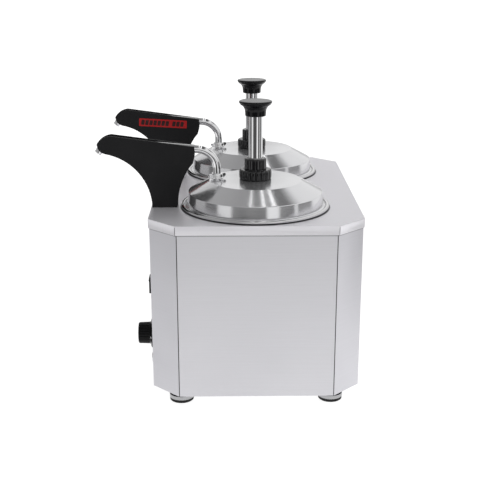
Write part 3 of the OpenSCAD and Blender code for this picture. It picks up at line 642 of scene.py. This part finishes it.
def make_controls(side):
    """The thermostat's dial with its marks, and the lamp with its bezel."""
    node = side + "_dial_knob"
    lo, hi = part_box(node)
    out = (FACE_Y - lo.y) / MM
    place = ((lo.x + hi.x) / 2, FACE_Y, (lo.z + hi.z) / 2)
    body = BODY_OF[node]
    # (radius, distance from the panel, depth of the flutes): the spindle, the skirt, whose face is a
    # cone from rim to hub, and the fluted grip
    rim, hub = (19.1, 4.6), (15.0, 6.3)
    levels = [(3, -18), (3, 1, 0), (19.2, 1), (19.8, 1.3), (20, 1.8), (20, 3.5), (19.7, 4.1), rim, hub,
              (14.3, 6.8), (13.9, 7.6, 0), (13.7, 8.4, 0.8), (13.3, out - 1.6, 0.8), (13.1, out - 0.8, 0.6),
              (12.6, out - 0.25, 0.3), (11.8, out, 0), (9.5, out), (8.9, out - 0.4), (0, out - 0.5)]
    rings = [circle(v[0], v[1], 288, 24, v[2] if len(v) > 2 else 0) for v in levels]
    piece(side + "_dial", skin([[(0, 0, -18)]] + rings), "dial_black", body, (node,), FRONT, place, 50)
    marks = slab(bmesh.new(), oblong(1.5, 7.4, 0.5), out - 0.45, out + 0.02, (0, 8.6))
    slope = (hub[1] - rim[1]) / (rim[0] - hub[0])
    for i in range(11):
        a = math.radians(i * 27)
        # each tick is three short steps down the cone
        for k in range(3):
            r = 16.1 + 0.8 * k
            z = hub[1] - (r - hub[0]) * slope
            slab(marks, oblong(0.7, 0.82, 0.1), z - 0.3, z + 0.09, (-r * math.sin(a), r * math.cos(a)),
                 math.degrees(a))
    piece(side + "_dial_marks", marks, "print_white", body, (), FRONT, place)
    index = slab(bmesh.new(), rounded([(0, 20.9, 0.2), (1.7, 24.2, 0.2), (-1.7, 24.2, 0.2)], closed=True),
                 -0.02, 0.12)
    piece(side + "_dial_index", index, "print_black", "root", (), FRONT, place)

    node = side + "_indicator_lamp"
    lo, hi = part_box(node)
    place = ((lo.x + hi.x) / 2, FACE_Y, (lo.z + hi.z) / 2)
    bezel = rounded([(5, -12), (5, 0, 0.1), (7.4, 0, 0.2), (7.4, 1, 0.4), (6.6, 1.6, 0.6), (6.4, 5.2, 0.5),
                     (4.9, 5.2, 0.3), (4.7, -12)], closed=True)
    piece(side + "_lamp_bezel", skin([circle(r, z, 96) for r, z in bezel], True), "chrome", "root", (node,),
          FRONT, place)
    lens = rounded([(0, -11.5), (4.6, -11.5), (4.6, 4.5, 0.5), (2.4, 5.5, 4), (0, 5.6)])
    piece(side + "_lamp_lens", skin([circle(r, z, 96) for r, z in lens]), "lamp_red", "root", (node,),
          FRONT, place)


def make_inlet():
    """Bright contact blades over the moulded ones in the mains inlet."""
    lo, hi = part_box("power_inlet")
    bm = bmesh.new()
    for x, z in ((-7, -2), (0, 2), (7, -2)):
        slab(bm, oblong(2.2, 4.2, 0.5), -13.4, -2.9, (x, z))
    turn = Matrix.Rotation(math.pi, 4, "Z") @ FRONT
    place = ((lo.x + hi.x) / 2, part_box("back_panel")[1].y, (lo.z + hi.z) / 2)
    piece("inlet_blades", bm, "screw_steel", "root", (), turn, place)


# Camera, floor and light ----------------------------------------------------

def aim_camera():
    """The viewpoint: off the right-hand end, above the cabinet, looking down along it."""
    place = Vector((1.241, MID_Y - 0.0309, COVER_HI.z + 0.2955))
    yaw, pitch, roll = (math.radians(a) for a in (1.2325, 17.135, 0.109))
    forward = Vector((-math.cos(yaw) * math.cos(pitch), math.sin(yaw) * math.cos(pitch), -math.sin(pitch)))
    level = Vector((math.sin(yaw), math.cos(yaw), 0))
    up = level.cross(forward)
    right = level * math.cos(roll) + up * math.sin(roll)
    up = right.cross(forward)
    camera = bpy.data.objects.new("camera", bpy.data.cameras.new("camera"))
    bpy.context.scene.collection.objects.link(camera)
    camera.data.sensor_width = 36
    camera.data.lens = 69.52
    turn = Matrix((right, up, -forward)).transposed()
    camera.matrix_world = Matrix.Translation(place) @ turn.to_4x4()
    camera.data.clip_end = 50
    bpy.context.scene.camera = camera


# What the polished pieces reflect, as (place, brightness). Below eye level all round, by azimuth:
LOW_LIGHT = [(-180, 0.9), (-160, 0.45), (-95, 0.45), (-91, 0.12), (-70, 0.12), (-64, 0.95), (-44, 0.95),
             (-38, 0.16), (-20, 0.08), (15, 0.1), (20, 1.1), (36, 1.1), (42, 0.14), (66, 0.14), (68, 0.9),
             (73, 0.9), (76, 0.2), (104, 0.2), (112, 1.0), (170, 1.0), (180, 0.9)]
# Overhead, where long thin lamps run along X, by y over z:
TOP_LIGHT = [(-1.2, 0.5), (-0.7, 0.45), (-0.3, 0.38), (-0.08, 0.3), (-0.056, 0.27), (-0.052, 2.3),
             (-0.034, 2.3), (-0.03, 0.27), (0.088, 0.27), (0.094, 2.1), (0.116, 2.1), (0.122, 0.3),
             (0.198, 0.3), (0.204, 2.3), (0.232, 2.3), (0.24, 0.13), (0.4, 0.12), (0.55, 0.95), (1.2, 0.95)]


def light_ramp(g, source, light):
    """Brightness along a value: straight lines between the places given."""
    start, end, top = light[0][0], light[-1][0], max(value for _, value in light)
    ramp = g.node("ValToRGB")
    g.link(g.range(source, start, end, 0.0, 1.0), ramp.inputs[0])
    elements = ramp.color_ramp.elements
    while len(elements) < len(light):
        elements.new(0.5)
    for element, (at, value) in zip(elements, light):
        element.position = (at - start) / (end - start)
        element.color = (value / top,) * 3 + (1,)
    return g.math("MULTIPLY", ramp.outputs[0], top)


def make_world():
    """White to the eye; to everything else a dim studio with strip lights and a bright far wall."""
    world = bpy.data.worlds.new("studio")
    bpy.context.scene.world = world
    world.use_nodes = True
    g = Graph(world.node_tree)
    x, y, z = g.axes("Generated")
    azimuth = g.math("MULTIPLY", g.math("ARCTAN2", y, x), 180 / math.pi)
    low = light_ramp(g, azimuth, LOW_LIGHT)
    overhead = light_ramp(g, g.math("DIVIDE", y, g.math("MAXIMUM", z, 0.05)), TOP_LIGHT)
    # the wall is brightest behind the machine, and dims towards the floor and the front
    wall = g.math("MULTIPLY", g.range(x, -0.2, 0.9, 0.95, 0.85, True),
                  g.range(z, 0.02, 0.2, 0.5, 1.0, True))
    wall = g.math("MULTIPLY", wall, g.range(y, -0.5, -0.15, 0.5, 1.0, True))
    sky = g.mix(g.range(z, 0.5, 0.72, 0.0, 1.0, True), wall, overhead)
    studio = g.mix(g.range(z, -0.06, 0.04, 0.0, 1.0, True), low, sky)
    seen = g.node("LightPath").outputs["Is Camera Ray"]
    g.link(g.mix(seen, studio, 1.2), g.tree.nodes["Background"].inputs["Strength"])
    g.tree.nodes["Background"].inputs["Color"].default_value = (1, 1, 1, 1)


def make_floor():
    """A pale, faintly glowing floor, as a lit table would be."""
    left, right, half, sheen = -0.7, 0.93, 0.8, (0.3, 0.3, 0.3, 1)
    mesh = bpy.data.meshes.new("floor")
    mesh.from_pydata([(left, -half, 0), (right, -half, 0), (right, half, 0), (left, half, 0)], [],
                     [(0, 1, 2, 3)])
    floor = bpy.data.objects.new("floor", mesh)
    bpy.context.scene.collection.objects.link(floor)
    mesh.materials.append(Shader("floor_paper", Roughness=0.9, Base_Color=sheen,
                                 Emission_Color=(1, 1, 1, 1), Emission_Strength=0.9).material)


bpy.context.scene.view_settings.view_transform = "Standard"
aim_camera()
make_world()
make_floor()

for node in ("front_panel", "back_panel", "left_end_panel", "right_end_panel", "top_cover"):
    soften(NODES[node], 0.0003)
for side in SIDES:
    soften(NODES[side + "_spout_arm"], 0.0009, 3)
    soften(NODES[side + "_wing_nut"], 0.0005, 3)
    make_lid(side)
    make_pot(side)
    make_pump(side)
    make_spout(side)
    make_label(side)
    make_controls(side)
    for name, width in (("switch_housing", 0.0005), ("rocker", 0.0004), ("spout_heater", 0.0003)):
        soften(NODES[side + "_" + name], width)
make_inlet()
soften(NODES["power_inlet"], 0.0004)
soften(NODES["terminal_block"], 0.0004)
